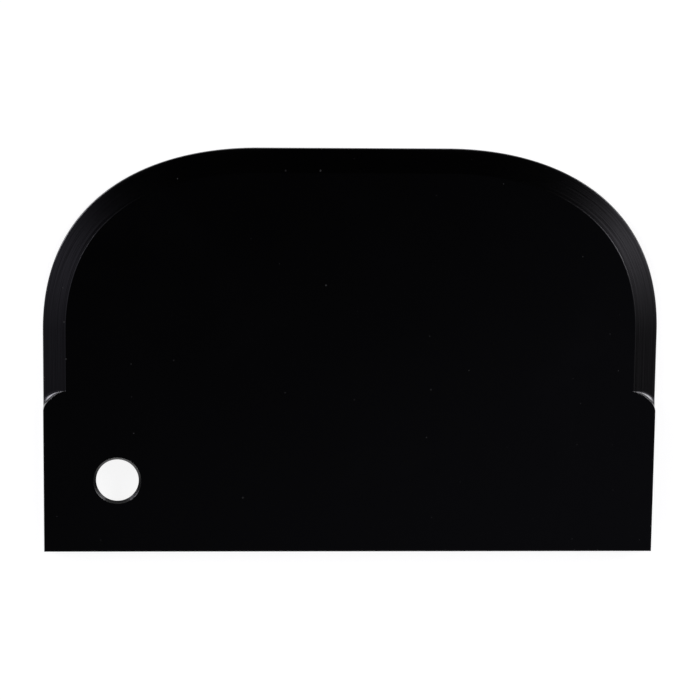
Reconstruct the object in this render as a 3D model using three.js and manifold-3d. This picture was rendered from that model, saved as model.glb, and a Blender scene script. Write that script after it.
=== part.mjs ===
// Dough scraper: one moulded plate with a straight base edge, a raised grip face between two rounded
// shoulders, a curved scraping edge that is bevelled down to a thin lip, and a hanging hole.
// Millimetres, +Z up. The plate lies on its flat back at z = 0 with the raised face up, +Y points to the
// scraping edge, and the origin is under the middle of the plate.

import * as THREE from 'three';
import { mergeVertices } from 'three/addons/utils/BufferGeometryUtils.js';
import Module from 'manifold-3d';

// Plate
const width = 150;
const depth = 100;
const thickness = 3;
const edgeRound = 0.25;

// Curved corners of the scraping edge, each one cubic from a straight side to the straight top
const cornerWidth = 52;
const cornerDepth = 45;
const cornerSidePull = 33;
const cornerTopPull = 26;

// Bevel from the raised face out to the lip, which starts a small step below the face
const bevelWidth = 5.4;
const bevelStep = 0.12;
const lipThickness = 1;

// Raised face: the round along the bevel, and the shoulders where the bevel stops against a leaning wall
const faceRound = 1.5;
const shoulderHeight = 40;
const shoulderRadius = 5.5;
const shoulderDraft = 22;

// Hanging hole, centred from the left side and from the base edge
const holeDiameter = 10.4;
const holeRound = 1;
const holeFromSide = 18;
const holeFromBase = 18;

// Fineness of the curves
const edgeSteps = 112;
const middleSteps = 41;
const shoulderSteps = 10;
const edgeRoundSteps = 3;
const holeRoundSteps = 5;
const holeSegments = 48;

// How far a cutting or joining solid runs past what it meets
const overlap = 2;

// Corners are set on this grid, so that faces meant to be flush are exactly flush
const grid = 1e-4;

const side = width / 2;
const top = depth / 2;
const base = -depth / 2;
const shoulderTop = base + shoulderHeight;

// The round over the raised face starts this far inside the bevel's inner line
const faceRun = Math.sqrt(2 * faceRound * bevelStep - bevelStep ** 2);
const faceInset = bevelWidth + faceRun;

const wasm = await Module();
wasm.setup();

/** A closed geometry as a solid that can be joined and cut. */
function solid(geometry) {
  geometry.deleteAttribute('normal');
  geometry.deleteAttribute('uv');
  const welded = mergeVertices(geometry);
  return new wasm.Manifold(new wasm.Mesh({
    numProp: 3,
    vertProperties: welded.attributes.position.array.map((value) => Math.round(value / grid) * grid),
    triVerts: new Uint32Array(welded.index.array),
  }));
}

/** A solid as a geometry for a mesh. */
function geometryOf(body) {
  const mesh = body.getMesh();
  const geometry = new THREE.BufferGeometry();
  geometry.setAttribute('position', new THREE.BufferAttribute(mesh.vertProperties, mesh.numProp));
  geometry.setIndex(new THREE.BufferAttribute(mesh.triVerts, 1));
  geometry.computeVertexNormals();
  return geometry;
}

/** The line of the scraping edge, from inside the left shoulder up and over to the right one. */
function scrapingEdge() {
  const foot = shoulderTop - shoulderRadius - overlap;
  const bend = top - cornerDepth;
  const crest = side - cornerWidth;
  const at = (x, y) => new THREE.Vector3(x, y, 0);
  const path = new THREE.CurvePath();
  path.add(new THREE.LineCurve3(at(-side, foot), at(-side, bend)));
  path.add(new THREE.CubicBezierCurve3(
    at(-side, bend),
    at(-side, bend + cornerSidePull),
    at(-crest - cornerTopPull, top),
    at(-crest, top),
  ));
  path.add(new THREE.LineCurve3(at(-crest, top), at(crest, top)));
  path.add(new THREE.CubicBezierCurve3(
    at(crest, top),
    at(crest + cornerTopPull, top),
    at(side, bend + cornerSidePull),
    at(side, bend),
  ));
  path.add(new THREE.LineCurve3(at(side, bend), at(side, foot)));
  return path;
}

/** Outline across the scraping edge, as inset against height: lip, bevel and the raised face's round. */
function edgeSection() {
  const bevelTop = thickness - bevelStep;
  const slope = Math.atan2(bevelTop - lipThickness, bevelWidth);
  const lipCentre = lipThickness + edgeRound * Math.tan(slope) - edgeRound / Math.cos(slope);
  const crease = Math.acos(1 - bevelStep / faceRound);
  const section = new THREE.Path();
  section.moveTo(faceInset + overlap, 0);
  section.lineTo(faceInset + overlap, thickness);
  section.absarc(faceInset, thickness - faceRound, faceRound, Math.PI / 2, Math.PI / 2 + crease);
  section.absarc(edgeRound, lipCentre, edgeRound, Math.PI / 2 + slope, Math.PI);
  section.absarc(edgeRound, edgeRound, edgeRound, Math.PI, Math.PI * 1.5);
  return section.getPoints(edgeRoundSteps);
}

/** The bevelled edge: its section swept along the scraping edge. */
function bevelledEdge(edge) {
  const across = edgeSection().map((point) => new THREE.Vector2(-point.y, -point.x));
  return solid(new THREE.ExtrudeGeometry(new THREE.Shape(across), { steps: edgeSteps, extrudePath: edge }));
}

/** The flat middle of the plate, which the bevelled edge runs round. */
function middle(edge) {
  const inset = faceInset + overlap / 2;
  const outline = [];
  for (let i = 0; i <= middleSteps; i += 1) {
    const point = edge.getPointAt(i / middleSteps);
    const along = edge.getTangentAt(i / middleSteps);
    outline.push(new THREE.Vector2(point.x + along.y * inset, point.y - along.x * inset));
  }
  return solid(new THREE.ExtrudeGeometry(new THREE.Shape(outline), { depth: thickness, bevelEnabled: false }));
}

/** The full-thickness grip along the base edge, with its two rounded shoulders. */
function grip() {
  const plan = new THREE.Shape([
    new THREE.Vector2(-side, base),
    new THREE.Vector2(side, base),
    new THREE.Vector2(side, shoulderTop + overlap),
    new THREE.Vector2(-side, shoulderTop + overlap),
  ]);
  const slab = new THREE.ExtrudeGeometry(plan, {
    depth: thickness - 2 * edgeRound,
    bevelThickness: edgeRound,
    bevelSize: edgeRound,
    bevelOffset: -edgeRound,
    bevelSegments: edgeRoundSteps,
  });
  const shoulders = new THREE.Path();
  shoulders.moveTo(-side, base - overlap);
  shoulders.lineTo(side, base - overlap);
  shoulders.absarc(side - shoulderRadius, shoulderTop - shoulderRadius, shoulderRadius, 0, Math.PI / 2);
  shoulders.absarc(shoulderRadius - side, shoulderTop - shoulderRadius, shoulderRadius, Math.PI / 2, Math.PI);
  const raised = new THREE.ExtrudeGeometry(new THREE.Shape(shoulders.getPoints(shoulderSteps)), {
    depth: thickness,
    bevelThickness: thickness,
    bevelSize: thickness * Math.tan(THREE.MathUtils.degToRad(shoulderDraft)),
    bevelSegments: 1,
  });
  return solid(slab.translate(0, 0, edgeRound)).intersect(solid(raised.translate(0, 0, -thickness)));
}

/** The hanging hole, right through, with both rims rounded. */
function hangingHole() {
  const radius = holeDiameter / 2;
  const rim = radius + holeRound;
  const profile = new THREE.Path();
  profile.moveTo(0, -overlap);
  profile.lineTo(rim, -overlap);
  profile.absarc(rim, holeRound, holeRound, -Math.PI / 2, -Math.PI, true);
  profile.absarc(rim, thickness - holeRound, holeRound, Math.PI, Math.PI / 2, true);
  profile.lineTo(rim, thickness + overlap);
  profile.lineTo(0, thickness + overlap);
  const hole = new THREE.LatheGeometry(profile.getPoints(holeRoundSteps), holeSegments);
  hole.rotateX(Math.PI / 2);
  return solid(hole.translate(holeFromSide - side, base + holeFromBase, 0));
}

/** The scraper: grip, middle and bevelled edge in one piece, less the hanging hole. */
function scraperPlate() {
  const edge = scrapingEdge();
  return grip().add(middle(edge)).add(bevelledEdge(edge)).subtract(hangingHole());
}

const blackPlastic = new THREE.MeshStandardMaterial({ color: 0x0c0c0d, roughness: 0.42, metalness: 0 });

const scraper = new THREE.Group();
const plate = new THREE.Mesh(geometryOf(scraperPlate()), blackPlastic);
plate.name = 'scraper_plate';
scraper.add(plate);

export default scraper;
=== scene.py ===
"""Dough scraper: one moulded plate of black plastic, lying face up on a white sweep.

The plate has a straight base edge, a raised grip face between two rounded shoulders, a bevel that runs up
both sides and over the top down to a thin lip, and a hanging hole. Soft cards light it from both sides.
"""

import logging
import math
from dataclasses import dataclass, field
from enum import Enum
from itertools import accumulate
from typing import Iterable, Sequence, Union

import bpy
from mathutils import Matrix, Vector
from mathutils.geometry import delaunay_2d_cdt


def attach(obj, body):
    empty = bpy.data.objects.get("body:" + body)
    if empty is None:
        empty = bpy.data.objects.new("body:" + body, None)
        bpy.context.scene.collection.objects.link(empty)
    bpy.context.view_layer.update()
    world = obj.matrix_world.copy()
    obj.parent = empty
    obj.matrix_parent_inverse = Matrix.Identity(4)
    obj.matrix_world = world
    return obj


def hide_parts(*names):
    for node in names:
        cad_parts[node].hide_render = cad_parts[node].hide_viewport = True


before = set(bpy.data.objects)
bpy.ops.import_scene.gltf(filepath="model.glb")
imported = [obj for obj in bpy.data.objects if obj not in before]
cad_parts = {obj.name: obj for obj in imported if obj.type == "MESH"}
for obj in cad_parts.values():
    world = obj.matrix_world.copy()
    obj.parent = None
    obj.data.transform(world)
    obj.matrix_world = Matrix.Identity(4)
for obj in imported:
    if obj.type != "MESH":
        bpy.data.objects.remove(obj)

MM = 0.001
IMAGE_SIDE = 700
WHITE = (1.0, 1.0, 1.0, 1.0)

# A length too small to see
HAIR = 0.001 * MM

# Places of a Mix node's colour sockets, which share their names with its other sockets
MIX_SHARE, MIX_UNDER, MIX_OVER, MIX_RESULT = 0, 6, 7, 2

# The flat fill keeps what is inside its edges, welds nothing, and counts this share of the hole as open
FILL_INSIDE = 1
FILL_WELD = 1e-9
FILL_OPEN = 0.999

Point = tuple[float, float]
Value = Union["Field", float]

log = logging.getLogger("dough_scraper")


class Sheet(Enum):
    """The two skins of the plate."""

    BACK = 0.0
    FACE = 1.0


class Bench:
    """Adds nodes to one tree and joins them."""

    def __init__(self, tree: bpy.types.NodeTree) -> None:
        """Keeps the tree and clears it."""
        self.tree = tree
        tree.nodes.clear()

    def add(self, kind: str, inputs: dict | None = None, **settings: object) -> bpy.types.Node:
        """Adds a node.

        Args:
            kind: The node's type name.
            inputs: Its inputs by name or place, each a number, a socket or a Field.
            settings: Its own properties by name.

        Returns:
            The new node.
        """
        node = self.tree.nodes.new(kind)
        for name, setting in settings.items():
            setattr(node, name, setting)
        for key, value in (inputs or {}).items():
            self.feed(node.inputs[key], value)
        return node

    def feed(self, socket: bpy.types.NodeSocket, value: object) -> None:
        """Sets an input to a plain value, or joins it to a socket or a Field.

        Args:
            socket: The input.
            value: What it takes.
        """
        if isinstance(value, Field):
            value = value.socket
        if isinstance(value, bpy.types.NodeSocket):
            self.tree.links.new(value, socket)
        else:
            socket.default_value = value

    def field(self, socket: bpy.types.NodeSocket) -> "Field":
        """A socket of this tree, ready for arithmetic."""
        return Field(self, socket)


class Field:
    """A number that changes over a surface. Arithmetic on it adds Math nodes to its tree."""

    def __init__(self, bench: Bench, socket: bpy.types.NodeSocket) -> None:
        """Keeps the socket and the bench that it belongs to."""
        self.bench = bench
        self.socket = socket

    def math(self, operation: str, *others: Value) -> "Field":
        """Runs one Math operation with this field as its first input.

        Args:
            operation: The Math node's operation.
            others: The second and third inputs.

        Returns:
            The result.
        """
        inputs = {place: value for place, value in enumerate((self, *others))}
        return Field(self.bench, self.bench.add("ShaderNodeMath", inputs, operation=operation).outputs[0])

    def __add__(self, other: Value) -> "Field":
        """The sum."""
        return self.math("ADD", other)

    def __sub__(self, other: Value) -> "Field":
        """The difference."""
        return self.math("SUBTRACT", other)

    def __mul__(self, other: Value) -> "Field":
        """The product."""
        return self.math("MULTIPLY", other)

    def __truediv__(self, other: Value) -> "Field":
        """The quotient."""
        return self.math("DIVIDE", other)

    def over(self, other: Value) -> "Field":
        """One where this field is the larger, and nothing elsewhere."""
        return self.math("GREATER_THAN", other)

    def at_least(self, other: Value) -> "Field":
        """The larger of the two."""
        return self.math("MAXIMUM", other)

    def at_most(self, other: Value) -> "Field":
        """The smaller of the two."""
        return self.math("MINIMUM", other)

    def root(self) -> "Field":
        """The square root, nothing below zero."""
        return self.at_least(0.0).math("SQRT")

    def size(self) -> "Field":
        """The value without its sign."""
        return self.math("ABSOLUTE")

    def toward(self, other: "Field", share: Value) -> "Field":
        """The value part of the way from this field to another.

        Args:
            other: The value at a share of one.
            share: How far to go.

        Returns:
            The mixed value.
        """
        return self + (other - self) * share

    def ramp(self, start: Value, end: Value) -> "Field":
        """A smooth rise from nothing at one value to one at another.

        Args:
            start: The value that gives nothing.
            end: The value that gives one.

        Returns:
            The rise, held between nothing and one.
        """
        inputs = {0: self, 1: start, 2: end, 3: 0.0, 4: 1.0}
        node = self.bench.add("ShaderNodeMapRange", inputs, interpolation_type="SMOOTHSTEP")
        return Field(self.bench, node.outputs[0])


def length(across: Field, along: Field) -> Field:
    """The length of a plane vector.

    Args:
        across: Its first part.
        along: Its second part.

    Returns:
        The length.
    """
    return (across * across + along * along).root()


def round_drop(depth_in: Field, radius: Field) -> Field:
    """How far a quarter round falls below the flat it rolls off.

    Args:
        depth_in: Distance past the start of the round, nothing before it.
        radius: The round's radius.

    Returns:
        The fall, up to the radius.
    """
    return radius - (radius * radius - depth_in * depth_in).root()


def blend_over(one: Field, other: Value, reach: Field) -> Field:
    """The larger of two heights, eased into each other where they meet.

    Args:
        one: The first height.
        other: The second height.
        reach: Difference in height at which the easing starts.

    Returns:
        The eased height, a quarter of the reach above both where they are equal.
    """
    meet = (reach - (one - other).size()).at_least(0.0)
    return one.at_least(other) + meet * meet / (reach * 4.0)


class MarkGroups:
    """Shader groups for the marks that handling and moulding leave on plastic.

    The class values are the least size and strength that a mark may have, and how much of it is solid.
    """

    speck_least_size: float = 0.35
    speck_least_strength: float = 0.25
    speck_solid: float = 0.45
    line_lean: float = 0.7
    line_least_reach: float = 0.3
    line_solid_reach: float = 0.5
    line_solid_width: float = 0.3
    haze_full: float = 0.86

    def __init__(self) -> None:
        """Builds each group once."""
        self.grain = self.mould_grain()
        self.dust = self.dust_specks()
        self.hairline = self.hairlines()
        self.haze = self.wiped_haze()
        self.streaks = self.edge_streaks()

    @staticmethod
    def start(name: str, inputs: Iterable[str],
              outputs: Iterable[str]) -> tuple[Bench, bpy.types.Node, bpy.types.Node]:
        """Starts a group with a Vector input and named numbers.

        Args:
            name: The group's name.
            inputs: Names of its number inputs.
            outputs: Names of its number outputs.

        Returns:
            The bench, the group's input node and its output node.
        """
        tree = bpy.data.node_groups.new(name, "ShaderNodeTree")
        tree.interface.new_socket(name="Vector", in_out="INPUT", socket_type="NodeSocketVector")
        for label in inputs:
            tree.interface.new_socket(name=label, in_out="INPUT", socket_type="NodeSocketFloat")
        for label in outputs:
            tree.interface.new_socket(name=label, in_out="OUTPUT", socket_type="NodeSocketFloat")
        bench = Bench(tree)
        return bench, bench.add("NodeGroupInput"), bench.add("NodeGroupOutput")

    @staticmethod
    def scatter(bench: Bench, given: bpy.types.Node) -> tuple[bpy.types.Node, list[Field]]:
        """Covers the plane with cells that each have draws of their own.

        Args:
            bench: The group's bench.
            given: The group's input node, with Vector and Cells.

        Returns:
            The cells' node, and three draws between nothing and one.
        """
        cells = bench.add("ShaderNodeTexVoronoi", {
            "Vector": given.outputs["Vector"], "Scale": given.outputs["Cells"]}, voronoi_dimensions="2D")
        draws = bench.add("ShaderNodeSeparateColor", {"Color": cells.outputs["Color"]})
        return cells, [bench.field(draws.outputs[part]) for part in ("Red", "Green", "Blue")]

    def mould_grain(self) -> bpy.types.ShaderNodeTree:
        """The fine texture of an etched mould: a height and a gloss that both waver.

        Returns:
            The group, with Height and Gloss outputs about a half.
        """
        bench, given, result = self.start("MouldGrain", ("Fine", "Broad"), ("Height", "Gloss"))
        fine = bench.add("ShaderNodeTexNoise", {
            "Vector": given.outputs["Vector"], "Scale": given.outputs["Fine"],
            "Detail": 3.0, "Roughness": 0.62})
        broad = bench.add("ShaderNodeTexNoise", {
            "Vector": given.outputs["Vector"], "Scale": given.outputs["Broad"],
            "Detail": 4.0, "Roughness": 0.55})
        bench.feed(result.inputs["Height"], fine.outputs["Fac"])
        bench.feed(result.inputs["Gloss"], broad.outputs["Fac"])
        return bench.tree

    def dust_specks(self) -> bpy.types.ShaderNodeTree:
        """Sparse specks, at most one to a cell, each with its own size and strength.

        Returns:
            The group, with a Mask output.
        """
        bench, given, result = self.start("DustSpecks", ("Cells", "Share", "Size"), ("Mask",))
        cells, (drawn, spread, strength) = self.scatter(bench, given)
        reach = bench.field(given.outputs["Size"]) * bench.field(given.outputs["Cells"])
        reach = reach * (spread * spread + self.speck_least_size)
        speck = bench.field(cells.outputs["Distance"]).ramp(reach, reach * self.speck_solid)
        kept = bench.field(given.outputs["Share"]).over(drawn)
        least = self.speck_least_strength
        bench.feed(result.inputs["Mask"], speck * kept * (strength * (1 - least) + least))
        return bench.tree

    def hairlines(self) -> bpy.types.ShaderNodeTree:
        """Short fine scratches along the group's own X, at most one to a cell.

        Returns:
            The group, with a Mask output.
        """
        bench, given, result = self.start("Hairlines", ("Cells", "Share", "Reach", "Width"), ("Mask",))
        cells, (drawn, spread, lean) = self.scatter(bench, given)
        scaled = bench.add("ShaderNodeVectorMath", {
            0: given.outputs["Vector"], "Scale": given.outputs["Cells"]}, operation="SCALE")
        away = bench.add("ShaderNodeVectorMath", {
            0: scaled.outputs[0], 1: cells.outputs["Position"]}, operation="SUBTRACT")
        parts = bench.add("ShaderNodeSeparateXYZ", {0: away.outputs[0]})
        along, aside = bench.field(parts.outputs["X"]), bench.field(parts.outputs["Y"])
        across = (aside - along * (lean - 0.5) * self.line_lean).size()
        cell = bench.field(given.outputs["Cells"])
        reach = bench.field(given.outputs["Reach"]) * cell * (spread + self.line_least_reach)
        width = bench.field(given.outputs["Width"]) * cell
        line = across.ramp(width, width * self.line_solid_width)
        line = line * along.size().ramp(reach, reach * self.line_solid_reach)
        kept = bench.field(given.outputs["Share"]).over(drawn)
        bench.feed(result.inputs["Mask"], line * kept)
        return bench.tree

    def wiped_haze(self) -> bpy.types.ShaderNodeTree:
        """Soft patches where a wiped surface keeps a little film.

        Returns:
            The group, with a Mask output.
        """
        bench, given, result = self.start("WipedHaze", ("Scale", "Start"), ("Mask",))
        patch = bench.add("ShaderNodeTexNoise", {
            "Vector": given.outputs["Vector"], "Scale": given.outputs["Scale"],
            "Detail": 5.0, "Roughness": 0.6, "Distortion": 0.6})
        mask = bench.field(patch.outputs["Fac"]).ramp(bench.field(given.outputs["Start"]), self.haze_full)
        bench.feed(result.inputs["Mask"], mask)
        return bench.tree

    def edge_streaks(self) -> bpy.types.ShaderNodeTree:
        """Long fine streaks along an edge, as a mould's cutter leaves them, from two lengths.

        Returns:
            The group, with a Height output about a half. Its Vector is the way along and the way across.
        """
        bench, given, result = self.start("EdgeStreaks", ("Long", "Fine"), ("Height",))
        parts = bench.add("ShaderNodeSeparateXYZ", {0: given.outputs["Vector"]})
        along = bench.field(parts.outputs["X"]) / bench.field(given.outputs["Long"])
        across = bench.field(parts.outputs["Y"]) / bench.field(given.outputs["Fine"])
        spread = bench.add("ShaderNodeCombineXYZ", {0: along, 1: across})
        streak = bench.add("ShaderNodeTexNoise", {
            "Vector": spread.outputs[0], "Scale": 1.0, "Detail": 2.0, "Roughness": 0.6},
            noise_dimensions="2D")
        bench.feed(result.inputs["Height"], streak.outputs["Fac"])
        return bench.tree


@dataclass(frozen=True)
class ScratchSet:
    """Hairlines in one direction.

    Attributes:
        turn: Direction of the lines, in degrees from the base edge.
        cell: Width of the area that holds one line at most.
        share: Share of those areas that have a line.
    """

    turn: float
    cell: float
    share: float


@dataclass(frozen=True)
class BlackPlastic:
    """Satin black moulded plastic, with a fine mould grain and the light marks of handling."""

    colour: tuple[float, float, float] = (0.0003, 0.0003, 0.00032)
    film_colour: tuple[float, float, float] = (0.0009, 0.0009, 0.00097)
    rubbed_colour: tuple[float, float, float] = (0.002, 0.002, 0.0021)
    dust_colour: tuple[float, float, float] = (0.034, 0.034, 0.033)
    roughness: float = 0.19
    gloss_waver: float = 0.02
    rubbed_roughness: float = 0.03
    film_roughness: float = 0.02
    scratch_roughness: float = 0.1
    dust_roughness: float = 0.3
    refraction: float = 1.49
    grain_size: float = 0.28 * MM
    grain_height: float = 0.0004 * MM
    waver_size: float = 22 * MM
    rubbed_from: float = 0.38
    rubbed_full: float = 0.66
    film_size: float = 34 * MM
    film_start: float = 0.52
    dust_cell: float = 9 * MM
    dust_share: float = 0.3
    dust_size: float = 0.24 * MM
    level_scratches: ScratchSet = ScratchSet(turn=6.0, cell=26 * MM, share=0.22)
    steep_scratches: ScratchSet = ScratchSet(turn=82.0, cell=31 * MM, share=0.2)
    scratch_reach: float = 3.2 * MM
    scratch_width: float = 0.09 * MM
    scratch_depth: float = 0.002 * MM
    scratch_tint: float = 0.8
    streak_length: float = 24 * MM
    streak_width: float = 0.45 * MM
    streak_height: float = 0.034 * MM

    def material(self, marks: MarkGroups) -> bpy.types.Material:
        """Builds the material from the plate's own coordinates and the numbers kept on its points.

        Args:
            marks: The shared groups.

        Returns:
            The material.
        """
        material = bpy.data.materials.new("black_plastic_satin")
        material.use_nodes = True
        bench = Bench(material.node_tree)
        place = bench.add("ShaderNodeTexCoord").outputs["Object"]

        grain = bench.add("ShaderNodeGroup", {
            "Vector": place, "Fine": 1 / self.grain_size, "Broad": 1 / self.waver_size},
            node_tree=marks.grain)
        gloss = bench.field(grain.outputs["Gloss"])
        worn = self.kept(bench, "rub") * gloss.ramp(self.rubbed_from, self.rubbed_full)
        film = self.group(bench, marks.haze, "Mask", {
            "Vector": place, "Scale": 1 / self.film_size, "Start": self.film_start})
        dust = self.group(bench, marks.dust, "Mask", {
            "Vector": place, "Cells": 1 / self.dust_cell, "Share": self.dust_share, "Size": self.dust_size})
        level = self.scratch(bench, marks, place, self.level_scratches)
        scratches = level.at_least(self.scratch(bench, marks, place, self.steep_scratches))

        colour = self.tint(bench, self.colour, self.film_colour, film)
        colour = self.tint(bench, colour, self.rubbed_colour, worn.at_least(scratches * self.scratch_tint))
        colour = self.tint(bench, colour, self.dust_colour, dust)
        rough = (gloss - 0.5) * (2 * self.gloss_waver) + self.roughness
        rough = rough + worn * self.rubbed_roughness + film * self.film_roughness
        rough = rough + scratches * self.scratch_roughness + dust * self.dust_roughness

        run = bench.add("ShaderNodeCombineXYZ", {0: self.kept(bench, "run"), 1: self.kept(bench, "inset")})
        streaks = self.group(bench, marks.streaks, "Height", {
            "Vector": run.outputs[0], "Long": self.streak_length, "Fine": self.streak_width})
        height = bench.field(grain.outputs["Height"]) * self.grain_height - scratches * self.scratch_depth
        height = height + streaks * self.kept(bench, "bevel") * self.streak_height
        bump = bench.add("ShaderNodeBump", {"Strength": 1.0, "Distance": 1.0, "Height": height})
        plastic = bench.add("ShaderNodeBsdfPrincipled", {
            "Base Color": colour, "Roughness": rough, "IOR": self.refraction,
            "Normal": bump.outputs["Normal"]})
        bench.add("ShaderNodeOutputMaterial", {"Surface": plastic.outputs["BSDF"]})
        return material

    @staticmethod
    def kept(bench: Bench, label: str) -> Field:
        """A number kept on the plate's points."""
        return bench.field(bench.add("ShaderNodeAttribute", attribute_name=label).outputs["Fac"])

    @staticmethod
    def group(bench: Bench, tree: bpy.types.ShaderNodeTree, output: str, inputs: dict) -> Field:
        """Places a shared group with its own values and gives one of its outputs."""
        return bench.field(bench.add("ShaderNodeGroup", inputs, node_tree=tree).outputs[output])

    def scratch(self, bench: Bench, marks: MarkGroups, place: bpy.types.NodeSocket,
                lines: ScratchSet) -> Field:
        """A field of hairlines in one direction.

        Args:
            bench: The material's bench.
            marks: The shared groups.
            place: The plate's own coordinates.
            lines: Their direction, spacing and number.

        Returns:
            The mask of the lines.
        """
        rotation = (0.0, 0.0, -math.radians(lines.turn))
        turned = bench.add("ShaderNodeMapping", {"Vector": place, "Rotation": rotation})
        return self.group(bench, marks.hairline, "Mask", {
            "Vector": turned.outputs["Vector"], "Cells": 1 / lines.cell, "Share": lines.share,
            "Reach": self.scratch_reach, "Width": self.scratch_width})

    @staticmethod
    def tint(bench: Bench, under: object, over: Sequence[float], share: Field) -> bpy.types.NodeSocket:
        """Mixes a colour over another.

        Args:
            bench: The material's bench.
            under: The colour below, plain or a socket.
            over: The colour on top.
            share: How much of the top one shows.

        Returns:
            The mixed colour.
        """
        node = bench.add("ShaderNodeMix", data_type="RGBA", clamp_factor=True)
        plain = not isinstance(under, bpy.types.NodeSocket)
        bench.feed(node.inputs[MIX_SHARE], share)
        bench.feed(node.inputs[MIX_UNDER], (*under, 1.0) if plain else under)
        bench.feed(node.inputs[MIX_OVER], (*over, 1.0))
        return node.outputs[MIX_RESULT]


@dataclass
class FlatPlan:
    """The plate's two skins laid out flat: points, what is kept on them, and faces."""

    points: list[Point] = field(default_factory=list)
    insets: list[float] = field(default_factory=list)
    runs: list[float] = field(default_factory=list)
    skins: list[float] = field(default_factory=list)
    faces: list[tuple[int, ...]] = field(default_factory=list)

    def lay(self, ring: Sequence[Point], inset: float, sheet: Sheet) -> range:
        """Adds one ring of points.

        Args:
            ring: The points, in order.
            inset: Their distance inside the plate's outline.
            sheet: Their skin.

        Returns:
            Their places in the plan.
        """
        start = len(self.points)
        self.points.extend(ring)
        self.insets.extend([inset] * len(ring))
        self.runs.extend(accumulate((math.dist(a, b) for a, b in zip(ring, ring[1:])), initial=0.0))
        self.skins.extend([sheet.value] * len(ring))
        return range(start, len(self.points))

    def stitch(self, outer: range, inner: range, flip: bool = False) -> None:
        """Joins two rings of the same length by a strip of faces.

        Args:
            outer: Places of the outer ring's points.
            inner: Places of the inner ring's points.
            flip: Whether to turn the faces over, as on the back.
        """
        count = len(outer)
        for k in range(count):
            n = (k + 1) % count
            quad = (outer[k], outer[n], inner[n], inner[k])
            self.faces.append(quad[::-1] if flip else quad)

    def fill(self, outer: range, collar: range, hole: Point, flip: bool) -> None:
        """Fills the flat between the innermost ring and the hole's outermost ring.

        Args:
            outer: Places of the innermost ring's points.
            collar: Places of the hole's outermost ring's points.
            hole: The hole's centre.
            flip: Whether to turn the faces over, as on the back.
        """
        places = [*outer, *collar]
        edges = []
        for start, count in ((0, len(outer)), (len(outer), len(collar))):
            edges += [(start + k, start + (k + 1) % count) for k in range(count)]
        plane = [Vector(self.points[place]) for place in places]
        _, _, triangles, origins, _, _ = delaunay_2d_cdt(plane, edges, [], FILL_INSIDE, FILL_WELD)
        centre = Vector(hole)
        reach = (plane[len(outer)] - centre).length * FILL_OPEN
        for triangle in triangles:
            corners = [origins[corner][0] for corner in triangle]
            middle = sum((plane[corner] for corner in corners), Vector((0.0, 0.0))) / len(corners)
            if (middle - centre).length > reach:
                face = tuple(places[corner] for corner in corners)
                self.faces.append(face[::-1] if flip else face)

    def mesh(self, name: str) -> bpy.types.Mesh:
        """Makes the plan a mesh at height nothing.

        Args:
            name: The mesh's name.

        Returns:
            The mesh, with inset, run and skin attributes on its points.
        """
        mesh = bpy.data.meshes.new(name)
        mesh.from_pydata([(x, y, 0.0) for x, y in self.points], [], self.faces)
        for label, values in (("inset", self.insets), ("run", self.runs), ("skin", self.skins)):
            mesh.attributes.new(label, "FLOAT", "POINT").data.foreach_set("value", values)
        return mesh


@dataclass(frozen=True)
class PlanGrid:
    """Where the rings and rows of the plate's plan lie.

    Insets, offsets, gaps and the clearance are in millimetres, tilts and the lead in degrees, and the rest
    are shares or counts.
    """

    edge_tilts: tuple[float, ...] = (90, 76, 62, 48, 36, 24, 12, 0)
    edge_hold: float = 1.15
    bevel_insets: tuple[float, ...] = (
        0.42, 0.6, 0.85, 1.1, 1.4, 1.7, 2.05, 2.4, 2.8, 3.2, 3.6, 4.0, 4.4, 4.8, 5.1, 5.3, 5.385)
    crease_steps: int = 8
    flat_gaps: tuple[float, ...] = (0.08, 0.6)
    grip_offsets: tuple[float, ...] = (-5.5, -4.2, -3.2, -2.6, -2.2, -1.95, -1.82)
    cove_offset: float = -1.75
    cove_gap: float = 0.035
    cove_rows: int = 57
    bevel_offsets: tuple[float, ...] = (0.3, 0.5, 0.9, 1.5, 2.5, 4.0, 6.0, 8.5)
    row_clearance: float = 0.1
    low_shares: tuple[float, ...] = (0.0, 0.005, 0.02, 0.07, 0.2, 0.4, 0.6, 0.8)
    high_shares: tuple[float, ...] = (0.35, 0.7, 1.0)
    corner_stations: int = 96
    top_steps: int = 6
    base_shares: tuple[float, ...] = (
        0.001, 0.004, 0.015, *(k / 12 for k in range(1, 12)), 0.985, 0.996, 0.999)
    hole_segments: int = 96
    collar_gaps: tuple[float, ...] = (1.4, 0.3)
    chamfer_shares: tuple[float, ...] = (1.4, 1.0, 0.75, 0.5, 0.25, 0.0, -0.25, -0.5, -0.75, -1.0, -1.4)
    bore_lead: float = 3.0
    bore_steps: int = 5


@dataclass(frozen=True)
class PlateWear:
    """How far the rub along the edges and the streaks on the bevel reach.

    The crest's inset and the streaks are shares of the bevel's width, and the bore's reach one of the
    chamfer's width.
    """

    edge_reach: float = 0.9 * MM
    edge_full: float = 0.1 * MM
    crest_reach: float = 0.5 * MM
    crest_full: float = 0.05 * MM
    crest_inset: float = 0.7
    bore_reach: float = 1.2
    bore_strength: float = 0.6
    streak_full: float = 0.9
    foot_reach: float = 0.3 * MM


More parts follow.
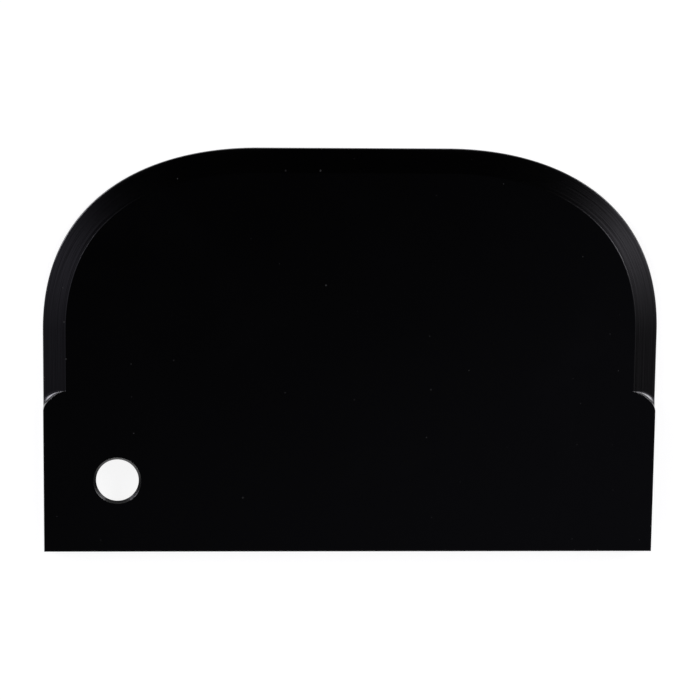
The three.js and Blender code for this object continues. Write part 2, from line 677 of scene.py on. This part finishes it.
@dataclass
class ScraperPlate:
    """The moulded plate. Its plan is laid out flat, and a node tree raises it by the plate's rule.

    Lengths are in metres, tilts are in degrees from level, and the least cove is a share of its full size.
    """

    width: float = 150 * MM
    depth: float = 100 * MM
    thickness: float = 3 * MM
    edge_round: float = 0.25 * MM
    corner_width: float = 52 * MM
    corner_depth: float = 45 * MM
    corner_side_pull: float = 33 * MM
    corner_top_pull: float = 26 * MM
    bevel_width: float = 5.4 * MM
    bevel_step: float = 0.12 * MM
    lip: float = 1 * MM
    face_round: float = 0.6 * MM
    foot_height: float = 40.53 * MM
    foot_radius: float = 5.9 * MM
    foot_from_side: float = 4.6 * MM
    foot_tilt: float = 8.0
    foot_blend: float = 0.12 * MM
    cove_radius: float = 2.2 * MM
    cove_tilt: float = 34.0
    cove_full: float = 1.4 * MM
    cove_least: float = 0.02
    bend_radius: float = 0.15 * MM
    crest_tilt: float = 82.0
    crest_blend: float = 0.16 * MM
    hole_diameter: float = 10.4 * MM
    hole_chamfer: float = 0.63 * MM
    hole_tilt: float = 50.0
    hole_flare: float = 0.5 * MM
    hole_softness: float = 0.04 * MM
    bore_round: float = 0.2 * MM
    hole_from_side: float = 18 * MM
    hole_from_base: float = 18 * MM
    margin: float = 8 * MM
    grid: PlanGrid = PlanGrid()
    wear: PlateWear = PlateWear()
    name: str = "moulded_plate"

    @property
    def side(self) -> float:
        """Half the width."""
        return self.width / 2

    @property
    def top(self) -> float:
        """Half the depth, where the scraping edge is."""
        return self.depth / 2

    @property
    def foot_centre(self) -> Point:
        """Centre of the right shoulder's foot line."""
        return self.side - self.foot_from_side, self.foot_height - self.foot_radius - self.top

    @property
    def hole_centre(self) -> Point:
        """The hanging hole's centre."""
        return self.hole_from_side - self.side, self.hole_from_base - self.top

    @property
    def face_inset(self) -> float:
        """Distance from the scraping edge to where the face is flat."""
        return self.bevel_width + math.sqrt(2 * self.face_round * self.bevel_step - self.bevel_step ** 2)

    def edge_columns(self) -> list[float]:
        """Insets across the round at the rim of the plate, with one just past it to hold the flat.

        Returns:
            The insets, from the rim inwards.
        """
        tilts = (math.radians(tilt) for tilt in self.grid.edge_tilts)
        rounded = (self.edge_round * (1 - math.sin(tilt)) for tilt in tilts)
        return [*rounded, self.edge_round * self.grid.edge_hold]

    def face_columns(self) -> list[float]:
        """Insets across the face: rim, bevel, the round at its inner line, and the flat margin.

        Returns:
            The insets, from the rim inwards.
        """
        bevel = (inset * MM for inset in self.grid.bevel_insets)
        crease = math.acos(1 - self.bevel_step / self.face_round)
        steps = self.grid.crease_steps
        turns = (crease * (1 - k / steps) for k in range(steps + 1))
        rounded = (self.face_inset - self.face_round * math.sin(turn) for turn in turns)
        flat = (self.face_inset + gap * MM for gap in self.grid.flat_gaps)
        return [*self.edge_columns(), *bevel, *rounded, *flat, self.margin]

    def wall_offsets(self) -> list[float]:
        """Distances from the shoulder's foot line to each row that follows it, from the grip to the bevel.

        Returns:
            The distances, less than nothing on the grip's side.
        """
        grid = self.grid
        cove = (grid.cove_offset + grid.cove_gap * k for k in range(grid.cove_rows))
        return [offset * MM for offset in (*grid.grip_offsets, *cove, *grid.bevel_offsets)]

    def wall_row(self, offset: float, inset: float) -> float:
        """Where a row that follows the foot line crosses a column.

        Args:
            offset: The row's distance from the foot line.
            inset: The column's inset from the side.

        Returns:
            The place along the depth.
        """
        deepest = self.foot_from_side - self.foot_radius + self.grid.row_clearance * MM
        reach = self.foot_radius + max(offset, deepest)
        run = max(self.foot_from_side - inset, 0.0)
        return self.foot_centre[1] + math.sqrt(reach * reach - run * run) + min(offset - deepest, 0.0)

    def side_points(self, inset: float) -> list[Point]:
        """One column up the right side, from the base corner to where the corner's curve starts.

        Args:
            inset: The column's inset from the side.

        Returns:
            Its points.
        """
        corner = inset - self.top
        offsets = self.wall_offsets()
        lowest = self.wall_row(offsets[0], inset)
        highest = self.wall_row(offsets[-1], inset)
        bend = self.top - self.corner_depth
        rows = [corner + (lowest - corner) * share for share in self.grid.low_shares]
        rows += [self.wall_row(offset, inset) for offset in offsets]
        rows += [highest + (bend - highest) * share for share in self.grid.high_shares]
        return [(self.side - inset, row) for row in rows]

    def corner_points(self, inset: float) -> list[Point]:
        """One column round the right corner and along the top to its middle.

        Args:
            inset: The column's inset from the scraping edge.

        Returns:
            Its points.
        """
        crest = self.side - self.corner_width
        bend = self.top - self.corner_depth
        hull = [Vector(p) for p in ((self.side, bend), (self.side, bend + self.corner_side_pull),
                                    (crest + self.corner_top_pull, self.top), (crest, self.top))]
        points = []
        for station in range(1, self.grid.corner_stations + 1):
            t = station / self.grid.corner_stations
            legs = [start.lerp(end, t) for start, end in zip(hull, hull[1:])]
            first, last = legs[0].lerp(legs[1], t), legs[1].lerp(legs[2], t)
            along = (last - first).normalized()
            place = first.lerp(last, t) + Vector((-along.y, along.x)) * inset
            points.append((place.x, place.y))
        steps = self.grid.top_steps
        points += [(crest * (1 - k / steps), self.top - inset) for k in range(1, steps + 1)]
        return points

    def ring(self, inset: float) -> list[Point]:
        """The plate's outline at one inset, anticlockwise from the right base corner.

        Args:
            inset: Distance inside the outline.

        Returns:
            The ring's points.
        """
        half = self.side_points(inset) + self.corner_points(inset)
        other = [(-x, y) for x, y in reversed(half[:-1])]
        reach = self.side - inset
        base = [(reach * (2 * share - 1), inset - self.top) for share in self.grid.base_shares]
        return half + other + base

    def hole_ring(self, radius: float) -> list[Point]:
        """A ring round the hanging hole, anticlockwise.

        Args:
            radius: The ring's radius.

        Returns:
            The ring's points.
        """
        across, along = self.hole_centre
        count = self.grid.hole_segments
        turns = (2 * math.pi * k / count for k in range(count))
        return [(across + radius * math.cos(turn), along + radius * math.sin(turn)) for turn in turns]

    def hole_radii(self, sheet: Sheet) -> list[float]:
        """Radii across the hole's rim: the flat, the chamfer's softened edge, and the round into the bore.

        Args:
            sheet: The skin. The hole is widest at the back, where the chamfer stops short of the bore.

        Returns:
            The radii, from the flat inwards.
        """
        bore = self.hole_diameter / 2
        rim = bore + self.hole_chamfer
        edge = [rim + gap * MM for gap in self.grid.collar_gaps]
        edge += [rim + self.hole_softness * share for share in self.grid.chamfer_shares]
        if sheet is Sheet.BACK:
            return [*edge, bore + self.hole_flare]
        steps = self.grid.bore_steps
        tilts = [self.hole_tilt + (90 - self.hole_tilt) * k / steps for k in range(steps + 1)]
        tilts.insert(0, self.hole_tilt - self.grid.bore_lead)
        return [*edge, *(bore + self.bore_round * (1 - math.sin(math.radians(tilt))) for tilt in tilts)]

    def flat_plan(self) -> FlatPlan:
        """Lays the plate's two skins out flat, joined at the rim and at the hole.

        Returns:
            The closed plan.
        """
        plan = FlatPlan()
        rims, bores = {}, {}
        for sheet in Sheet:
            flip = sheet is Sheet.BACK
            columns = self.face_columns() if sheet is Sheet.FACE else [*self.edge_columns(), self.margin]
            radii = self.hole_radii(sheet)
            rings = [plan.lay(self.ring(inset), inset, sheet) for inset in columns]
            collars = [plan.lay(self.hole_ring(radius), self.margin, sheet) for radius in radii]
            for loops in (rings, collars):
                for outer, inner in zip(loops, loops[1:]):
                    plan.stitch(outer, inner, flip)
            plan.fill(rings[-1], collars[0], self.hole_centre, flip)
            rims[sheet], bores[sheet] = rings[0], collars[-1]
        plan.stitch(rims[Sheet.BACK], rims[Sheet.FACE])
        plan.stitch(bores[Sheet.FACE], bores[Sheet.BACK])
        return plan

    def rule_sizes(self) -> dict[str, float]:
        """The sizes that the plate's rule takes.

        Returns:
            The sizes by the names of the rule's inputs.
        """
        return {
            "Thickness": self.thickness,
            "Lip": self.lip,
            "Bevel width": self.bevel_width,
            "Bevel step": self.bevel_step,
            "Face round": self.face_round,
            "Edge round": self.edge_round,
            "Foot across": self.foot_centre[0],
            "Foot along": self.foot_centre[1],
            "Foot radius": self.foot_radius,
            "Foot tilt": math.radians(self.foot_tilt),
            "Foot blend": self.foot_blend,
            "Cove radius": self.cove_radius,
            "Cove tilt": math.radians(self.cove_tilt),
            "Cove full": self.cove_full,
            "Bend radius": self.bend_radius,
            "Crest tilt": math.radians(self.crest_tilt),
            "Crest blend": self.crest_blend,
            "Hole radius": self.hole_diameter / 2,
            "Hole chamfer": self.hole_chamfer,
            "Hole tilt": math.radians(self.hole_tilt),
            "Hole softness": self.hole_softness,
            "Bore round": self.bore_round,
            "Hole across": self.hole_centre[0],
            "Hole along": self.hole_centre[1],
        }

    def rule_inputs(self, tree: bpy.types.GeometryNodeTree) -> dict[str, str]:
        """Gives the rule's tree its sockets.

        Args:
            tree: The tree.

        Returns:
            Its inputs' identifiers by name.
        """
        tree.interface.new_socket(name="Geometry", in_out="OUTPUT", socket_type="NodeSocketGeometry")
        tree.interface.new_socket(name="Plan", in_out="INPUT", socket_type="NodeSocketGeometry")
        kinds = {label: "NodeSocketFloat" for label in self.rule_sizes()}
        kinds["Finish"] = "NodeSocketMaterial"
        identifiers = {}
        for label, kind in kinds.items():
            socket = tree.interface.new_socket(name=label, in_out="INPUT", socket_type=kind)
            identifiers[label] = socket.identifier
        return identifiers

    def rule(self) -> tuple[bpy.types.GeometryNodeTree, dict[str, str]]:
        """The node tree that raises the flat plan to the plate's heights.

        Returns:
            The tree and its inputs' identifiers by name.
        """
        tree = bpy.data.node_groups.new("PlateRule", "GeometryNodeTree")
        bench = Bench(tree)
        identifiers = self.rule_inputs(tree)
        given = bench.add("NodeGroupInput")
        size = {label: bench.field(given.outputs[label]) for label in self.rule_sizes()}

        place = bench.add("ShaderNodeSeparateXYZ", {0: bench.add("GeometryNodeInputPosition").outputs[0]})
        across, along = bench.field(place.outputs["X"]), bench.field(place.outputs["Y"])
        inset = self.attribute(bench, "inset")
        skin = self.attribute(bench, "skin")

        blade = self.blade_height(size, inset)
        within = self.foot_distance(size, across, along)
        room = size["Thickness"] - blade
        share = (room / size["Cove full"]).at_most(1.0).at_least(self.cove_least)
        climb = self.cove_rise(size, share, blend_over(within, 0.0, size["Foot blend"]))
        reach = size["Crest blend"].at_most(room).at_least(HAIR)
        face = size["Thickness"] - blend_over(room - climb, 0.0, reach).at_most(room)

        rim = round_drop((size["Edge round"] - inset).at_least(0.0), size["Edge round"])
        from_hole = length(across - size["Hole across"], along - size["Hole along"])
        rounds = rim + self.hole_drop(size, from_hole - size["Hole radius"])
        height = rounds.toward(face - rounds, skin)

        position = bench.add("ShaderNodeCombineXYZ", {0: across, 1: along, 2: height})
        shape = bench.add("GeometryNodeSetPosition", {
            "Geometry": given.outputs["Plan"], "Position": position.outputs[0]})
        for label, value in self.wear_marks(size, inset, within, room - climb, from_hole, skin).items():
            shape = bench.add("GeometryNodeStoreNamedAttribute", {
                "Geometry": shape.outputs[0], "Name": label, "Value": value},
                data_type="FLOAT", domain="POINT")
        shape = bench.add("GeometryNodeSetShadeSmooth", {"Geometry": shape.outputs[0]})
        shape = bench.add("GeometryNodeRealizeInstances", {"Geometry": shape.outputs[0]})
        shape = bench.add("GeometryNodeSetMaterial", {
            "Geometry": shape.outputs[0], "Material": given.outputs["Finish"]})
        bench.add("NodeGroupOutput", {"Geometry": shape.outputs[0]})
        return tree, identifiers

    def wear_marks(self, size: dict[str, Field], inset: Field, within: Field, below_face: Field,
                   from_hole: Field, skin: Field) -> dict[str, Field]:
        """The numbers that the finish reads from the plate's points.

        Args:
            size: The rule's sizes.
            inset: Distance from the scraping edge.
            within: Distance inside the foot line of the shoulders.
            below_face: Height left between the shoulders' wall and the face.
            from_hole: Distance from the hole's centre.
            skin: One on the face and nothing on the back.

        Returns:
            The rub along the edges and the bevel's share of the streaks, by name.
        """
        wear, bevel_width, bore = self.wear, size["Bevel width"], size["Hole radius"]
        near_edge = inset.ramp(wear.edge_reach, wear.edge_full)
        near_crest = below_face.size().ramp(wear.crest_reach, wear.crest_full)
        near_crest = near_crest * inset.ramp(bevel_width, bevel_width * wear.crest_inset)
        near_bore = from_hole.ramp(bore + size["Hole chamfer"] * wear.bore_reach, bore)
        rub = near_edge.at_least(near_crest * skin).at_least(near_bore * wear.bore_strength)
        bevel = inset.ramp(bevel_width, bevel_width * wear.streak_full)
        bevel = bevel * within.ramp(wear.foot_reach, 0.0) * skin
        return {"rub": rub, "bevel": bevel}

    @staticmethod
    def attribute(bench: Bench, label: str) -> Field:
        """A number kept on the plan's points."""
        node = bench.add("GeometryNodeInputNamedAttribute", {"Name": label}, data_type="FLOAT")
        return bench.field(node.outputs["Attribute"])

    @staticmethod
    def blade_height(size: dict[str, Field], inset: Field) -> Field:
        """Height of the lip, the bevel and the round at the bevel's inner line.

        Args:
            size: The rule's sizes.
            inset: Distance from the scraping edge.

        Returns:
            The height, as if the bevel ran all round.
        """
        rise = (size["Thickness"] - size["Bevel step"] - size["Lip"]) / size["Bevel width"]
        bevel = size["Lip"] + rise * inset
        step, radius = size["Bevel step"], size["Face round"]
        flat_from = size["Bevel width"] + (step * radius * 2.0 - step * step).root()
        crease = size["Thickness"] - round_drop((flat_from - inset).at_least(0.0), radius)
        return bevel.toward(crease, inset.over(size["Bevel width"] - HAIR))

    @staticmethod
    def foot_distance(size: dict[str, Field], across: Field, along: Field) -> Field:
        """Distance inside the foot line of the shoulders.

        Args:
            size: The rule's sizes.
            across: Place along the width.
            along: Place along the depth.

        Returns:
            The distance, less than nothing on the bevel.
        """
        past_side = across.size() - size["Foot across"]
        past_top = along - size["Foot along"]
        outside = length(past_side.at_least(0.0), past_top.at_least(0.0))
        inside = past_side.at_least(past_top).at_most(0.0)
        return size["Foot radius"] - outside - inside

    @staticmethod
    def hollow(radius: Field, start: Field, end: Field, run: Field) -> tuple[Field, Field]:
        """A hollow arc that steepens from one tilt to another.

        Args:
            radius: The arc's radius.
            start: Its tilt at the foot.
            end: Its tilt at the top.
            run: Level distance from its foot.

        Returns:
            The height that it has risen, and the distance left past its end.
        """
        span = radius * (end.math("SINE") - start.math("SINE"))
        reached = start.math("SINE") + run.at_most(span) / radius
        rise = radius * (start.math("COSINE") - (reached * reached * -1.0 + 1.0).root())
        return rise, (run - span).at_least(0.0)

    def cove_rise(self, size: dict[str, Field], share: Field, within: Field) -> Field:
        """Height above the bevel of the hollow wall that rises to the shoulders.

        Args:
            size: The rule's sizes.
            share: How much of its full size the hollow has, less where the wall is low.
            within: Distance inside the foot line, nothing outside it.

        Returns:
            The height, which goes on rising past the hollow.
        """
        foot, bend, crest = size["Foot tilt"], size["Cove tilt"], size["Crest tilt"]
        cove, past = self.hollow(size["Cove radius"] * share, foot, bend, within)
        turn, past = self.hollow(size["Bend radius"] * share, bend, crest, past)
        return cove + turn + past * crest.math("TANGENT")

    @staticmethod
    def hole_drop(size: dict[str, Field], outside: Field) -> Field:
        """How far the hole's rim falls below the flat: a chamfer that turns into the bore.

        Args:
            size: The rule's sizes.
            outside: Distance from the bore.

        Returns:
            The fall, nothing on the flat.
        """
        radius, tilt = size["Bore round"], size["Hole tilt"]
        turn_from = radius - radius * tilt.math("SINE")
        chamfer = (size["Hole chamfer"] - outside.at_least(turn_from)) * tilt.math("TANGENT")
        reached = (radius - outside.at_most(turn_from)).at_most(radius)
        turn = radius * tilt.math("COSINE") - (radius * radius - reached * reached).root()
        return blend_over(chamfer, 0.0, size["Hole softness"]) + turn

    def build(self, finish: bpy.types.Material) -> bpy.types.Object:
        """Builds the plate as a plain mesh.

        Args:
            finish: Its material.

        Returns:
            The plate's object, at the origin.
        """
        plate = bpy.data.objects.new(self.name, self.flat_plan().mesh(self.name))
        bpy.context.scene.collection.objects.link(plate)
        tree, identifiers = self.rule()
        modifier = plate.modifiers.new("rule", "NODES")
        modifier.node_group = tree
        for label, value in self.rule_sizes().items():
            modifier[identifiers[label]] = value
        modifier[identifiers["Finish"]] = finish
        graph = bpy.context.evaluated_depsgraph_get()
        mesh = bpy.data.meshes.new_from_object(
            plate.evaluated_get(graph), preserve_all_data_layers=True, depsgraph=graph)
        plate.modifiers.clear()
        plate.data = mesh
        mesh.name = self.name
        return plate

    def dress(self, plate: bpy.types.Object) -> None:
        """Puts the plate in the CAD frame in place of its plain solid.

        Args:
            plate: The plate's object.
        """
        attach(plate, "root")
        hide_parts("scraper_plate")


@dataclass(frozen=True)
class WhiteSweep:
    """A white floor with a low white wall round it, open to a dark room above."""

    radius: float = 6.0
    wall_height: float = 0.5
    floor_drop: float = 0.02 * MM
    segments: int = 96
    reflectance: float = 0.28
    floor_glow: float = 0.89
    wall_glow: float = 1.0

    def material(self, label: str, glow: float) -> bpy.types.Material:
        """A white that the camera and reflections see evenly, and that still takes the shadow.

        Args:
            label: The piece that it is for.
            glow: How much of the white comes from itself.

        Returns:
            The material.
        """
        material = bpy.data.materials.new(f"white_{label}")
        material.use_nodes = True
        bench = Bench(material.node_tree)
        path = bench.add("ShaderNodeLightPath")
        rays = ("Is Camera Ray", "Is Glossy Ray", "Is Transmission Ray")
        camera, glossy, passing = (bench.field(path.outputs[ray]) for ray in rays)
        seen = camera.at_least(glossy).at_least(passing)
        grey = (self.reflectance, self.reflectance, self.reflectance, 1.0)
        matt = bench.add("ShaderNodeBsdfDiffuse", {"Color": grey})
        light = bench.add("ShaderNodeEmission", {"Color": WHITE, "Strength": seen * glow})
        both = bench.add("ShaderNodeAddShader", {0: matt.outputs[0], 1: light.outputs[0]})
        bench.add("ShaderNodeOutputMaterial", {"Surface": both.outputs[0]})
        return material

    def build(self) -> list[bpy.types.Object]:
        """Builds the floor and the wall.

        Returns:
            Both objects.
        """
        turns = [2 * math.pi * k / self.segments for k in range(self.segments)]
        rim = [(self.radius * math.cos(t), self.radius * math.sin(t)) for t in turns]
        low = [(x, y, -self.floor_drop) for x, y in rim]
        high = [(x, y, self.wall_height) for x, y in rim]
        count = self.segments
        strip = [((k + 1) % count, k, count + k, count + (k + 1) % count) for k in range(count)]
        made = []
        for label, points, faces, glow in (("floor", low, [tuple(range(count))], self.floor_glow),
                                           ("backdrop", low + high, strip, self.wall_glow)):
            mesh = bpy.data.meshes.new(label)
            mesh.from_pydata(points, [], faces)
            mesh.materials.append(self.material(label, glow))
            piece = bpy.data.objects.new(label, mesh)
            bpy.context.scene.collection.objects.link(piece)
            made.append(piece)
        return made


@dataclass(frozen=True)
class SkyCard:
    """A large card of light with soft edges, far enough away to be placed by direction alone.

    Angles are in degrees. The azimuth runs anticlockwise from +X and the height up from the floor.
    """

    name: str
    azimuth: float
    half_width: float
    side_softness: float
    low: float
    low_softness: float
    high: float
    high_softness: float
    radiance: float
    tint: tuple[float, float, float]

    def light(self, bench: Bench, across: Field, along: Field, height: Field) -> bpy.types.NodeSocket:
        """The card's light over the sky.

        Args:
            bench: The world's bench.
            across: The direction's part along +X.
            along: The direction's part along +Y.
            height: The direction's height, in degrees.

        Returns:
            Its shader.
        """
        turn = math.radians(self.azimuth)
        ahead = across * math.cos(turn) + along * math.sin(turn)
        aside = along * math.cos(turn) - across * math.sin(turn)
        away = aside.math("ARCTAN2", ahead).math("DEGREES").size()
        side = away.ramp(self.half_width + self.side_softness / 2, self.half_width - self.side_softness / 2)
        foot = height.ramp(self.low - self.low_softness / 2, self.low + self.low_softness / 2)
        head = height.ramp(self.high + self.high_softness / 2, self.high - self.high_softness / 2)
        strength = side * foot * head * self.radiance
        card = bench.add("ShaderNodeBackground", {"Color": (*self.tint, 1.0), "Strength": strength})
        return card.outputs[0]


@dataclass(frozen=True)
class PhotoCamera:
    """The photograph's camera, fitted to the plate's outline, hole and shoulders.

    Angles are in degrees, and the scale is in pixels to a metre at the plate.
    """

    distance: float = 0.760
    pitch: float = 11.51
    yaw: float = 2.77
    roll: float = -0.11
    scale: float = 4088.5
    right_px: float = 0.82
    down_px: float = 0.79
    sensor: float = 36.0

    def build(self) -> bpy.types.Object:
        """Places the camera and makes it the scene's own.

        Returns:
            The camera's object.
        """
        camera = bpy.data.cameras.new("camera")
        camera.sensor_width = self.sensor
        camera.lens = self.scale * self.distance / IMAGE_SIDE * self.sensor
        turn = (Matrix.Rotation(math.radians(self.roll), 3, "Z")
                @ Matrix.Rotation(math.radians(self.yaw), 3, "Y")
                @ Matrix.Rotation(math.radians(self.pitch), 3, "X")).transposed()
        place = turn @ Vector((-self.right_px / self.scale, self.down_px / self.scale, self.distance))
        body = bpy.data.objects.new("camera", camera)
        body.matrix_world = Matrix.Translation(place) @ turn.to_4x4()
        bpy.context.scene.collection.objects.link(body)
        bpy.context.scene.camera = body
        return body


@dataclass(frozen=True)
class Room:
    """The dark room over the sweep, and the cards of light in it."""

    grey: float = 0.001
    cards: tuple[SkyCard, ...] = (
        SkyCard("left_card", azimuth=155.5, half_width=10.5, side_softness=6.0, radiance=14.5,
                low=6.0, low_softness=3.0, high=24.0, high_softness=5.0, tint=(1.0, 0.98, 1.08)),
        SkyCard("left_low_card", azimuth=138.5, half_width=6.5, side_softness=6.0, radiance=19.0,
                low=6.0, low_softness=3.0, high=15.5, high_softness=3.0, tint=(1.0, 0.98, 1.08)),
        SkyCard("left_sheen", azimuth=174.0, half_width=19.0, side_softness=52.0, radiance=0.44,
                low=4.0, low_softness=2.0, high=57.0, high_softness=10.0, tint=(1.0, 0.96, 1.2)),
        SkyCard("right_card", azimuth=23.0, half_width=12.5, side_softness=7.0, radiance=12.5,
                low=6.0, low_softness=3.0, high=24.5, high_softness=5.0, tint=(1.0, 0.99, 1.04)),
        SkyCard("right_low_card", azimuth=42.0, half_width=7.0, side_softness=6.0, radiance=14.0,
                low=6.0, low_softness=3.0, high=18.0, high_softness=4.0, tint=(1.0, 0.99, 1.04)),
        SkyCard("right_sheen", azimuth=14.0, half_width=9.0, side_softness=60.0, radiance=1.6,
                low=4.0, low_softness=2.0, high=52.5, high_softness=8.0, tint=(1.0, 0.96, 1.08)),
        SkyCard("roof", azimuth=320.0, half_width=60.0, side_softness=110.0, radiance=0.085,
                low=60.0, low_softness=8.0, high=77.6, high_softness=4.0, tint=(0.97, 0.97, 1.22)),
        SkyCard("front_card", azimuth=256.0, half_width=34.0, side_softness=12.0, radiance=11.0,
                low=4.0, low_softness=2.0, high=17.0, high_softness=4.0, tint=(1.0, 1.0, 1.02)),
        SkyCard("front_sheen", azimuth=300.0, half_width=40.0, side_softness=70.0, radiance=0.16,
                low=8.0, low_softness=12.0, high=36.0, high_softness=24.0, tint=(1.0, 0.99, 1.04)),
    )

    def build(self) -> None:
        """Paints the cards on the world."""
        world = bpy.data.worlds.new("room")
        world.use_nodes = True
        bench = Bench(world.node_tree)
        way = bench.add("ShaderNodeSeparateXYZ", {0: bench.add("ShaderNodeTexCoord").outputs["Generated"]})
        across, along, up = (bench.field(way.outputs[axis]) for axis in "XYZ")
        height = up.math("ARCSINE").math("DEGREES")
        air = bench.add("ShaderNodeBackground", {"Color": WHITE, "Strength": self.grey}).outputs[0]
        for card in self.cards:
            light = card.light(bench, across, along, height)
            air = bench.add("ShaderNodeAddShader", {0: air, 1: light}).outputs[0]
            log.info("light %s at azimuth %.0f", card.name, card.azimuth)
        bench.add("ShaderNodeOutputWorld", {"Surface": air})
        bpy.context.scene.world = world
        bpy.context.scene.view_settings.view_transform = "Standard"


def main() -> None:
    """Builds the plate, its stage, its light and its camera."""
    logging.basicConfig(level=logging.INFO, format="%(name)s: %(message)s")
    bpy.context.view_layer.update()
    scraper = ScraperPlate()
    plate = scraper.build(BlackPlastic().material(MarkGroups()))
    scraper.dress(plate)
    counts = len(plate.data.vertices), len(plate.data.polygons)
    log.info("piece %s: %d points, %d faces", plate.name, *counts)
    for piece in WhiteSweep().build():
        log.info("stage %s", piece.name)
    Room().build()
    PhotoCamera().build()


if __name__ == "__main__":
    main()
